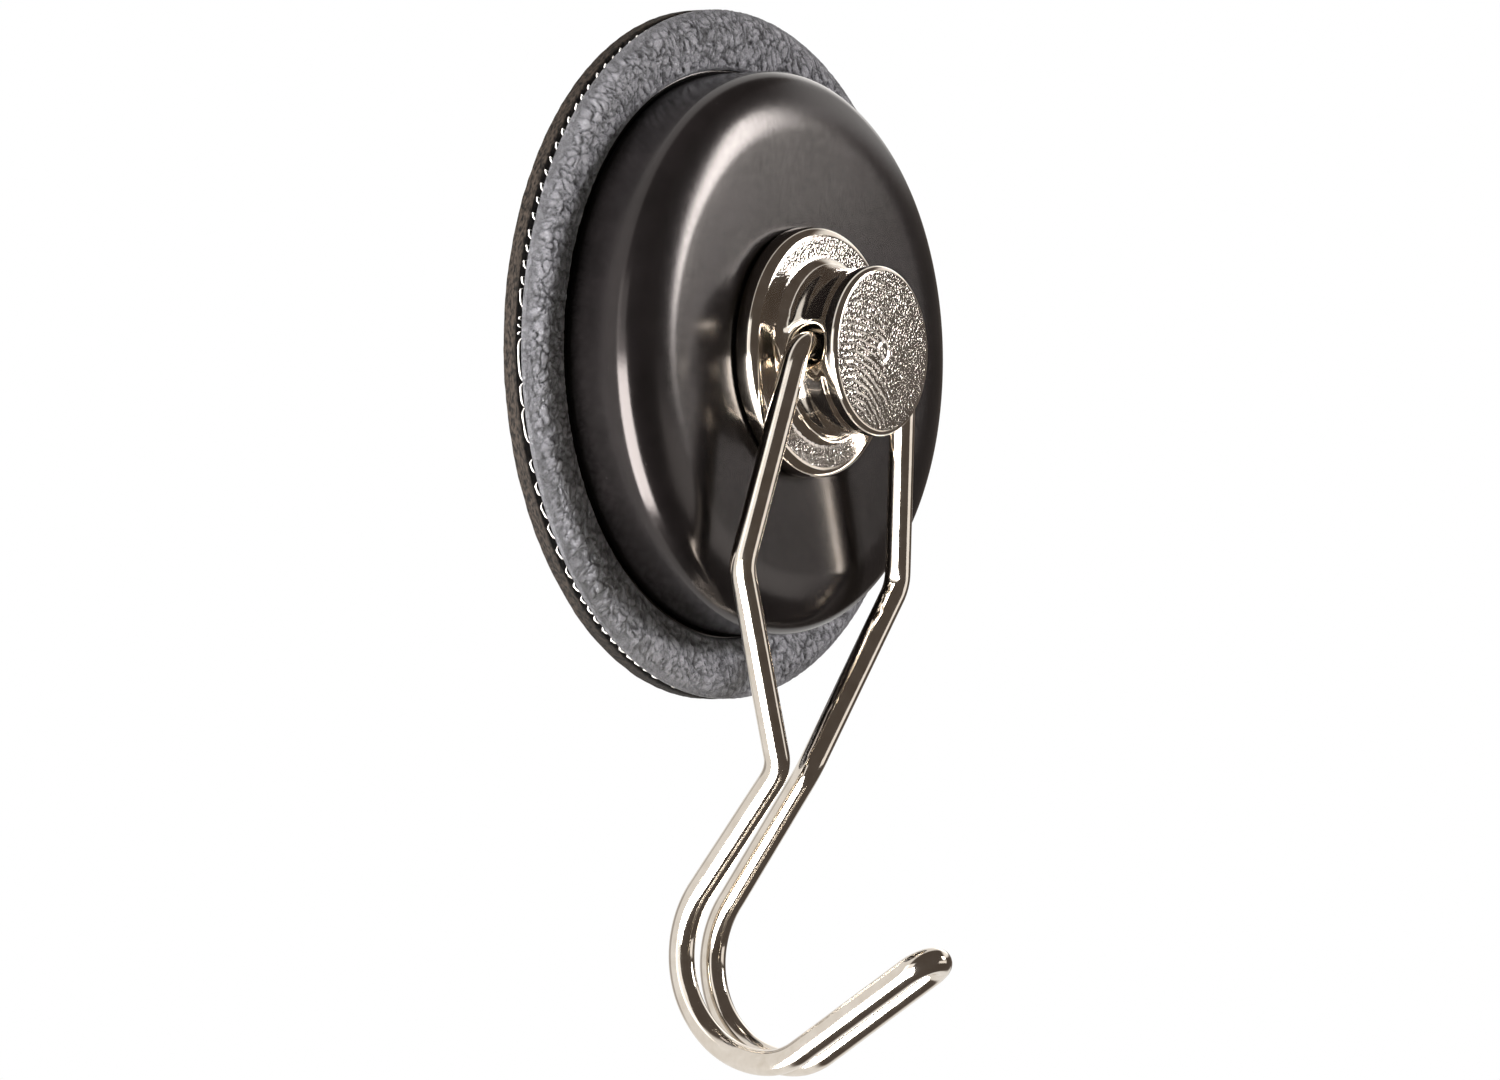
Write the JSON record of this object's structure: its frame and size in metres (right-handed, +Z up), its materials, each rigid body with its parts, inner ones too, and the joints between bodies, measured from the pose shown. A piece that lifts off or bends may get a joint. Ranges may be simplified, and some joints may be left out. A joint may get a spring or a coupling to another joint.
{
  "type": "magnetic hook",
  "caption": "Round leather-faced pot magnet with a swivelling nickel knob that carries a swinging wire hook.",
  "frame": {"origin": "centre of the leather pad's back face, the face that sticks to steel", "axes": "+Y out of the back face into the steel surface, the front and the hook face -Y, +Z up, +X to the right seen from the front"},
  "size_m": [0.1, 0.045, 0.154],
  "materials": {
    "black_leather": "wrinkled grain, low sheen",
    "white_thread": "matte sewing thread",
    "black_paint": "satin gloss",
    "ferrite": "matte sintered",
    "zinc_steel": "zinc plated",
    "nylon": "moulded",
    "nickel": "polished nickel plate"
  },
  "bodies": {
    "magnet": {"back_leather": "black_leather", "front_leather": "black_leather", "seam_thread": "white_thread", "steel_cup": "black_paint", "ring_magnet": "ferrite", "centre_pole": "zinc_steel", "magnet_spacer": "nylon", "swivel_bush": "nylon"},
    "knob": {"swivel_knob": "nickel", "swivel_screw": "zinc_steel", "screw_washer": "zinc_steel"},
    "hook": {"wire_hook": "nickel"}
  },
  "joints": [
    {"name": "knob_swivel", "type": "hinge", "parent": "magnet", "child": "knob", "pos_m": [0, 0, 0], "axis": [0, 1, 0], "continuous": true},
    {"name": "hook_swing", "type": "hinge", "parent": "knob", "child": "hook", "pos_m": [0, -0.0251, 0], "axis": [-0.9976, 0, 0.0698], "range_deg": [-5, 182]}
  ]
}
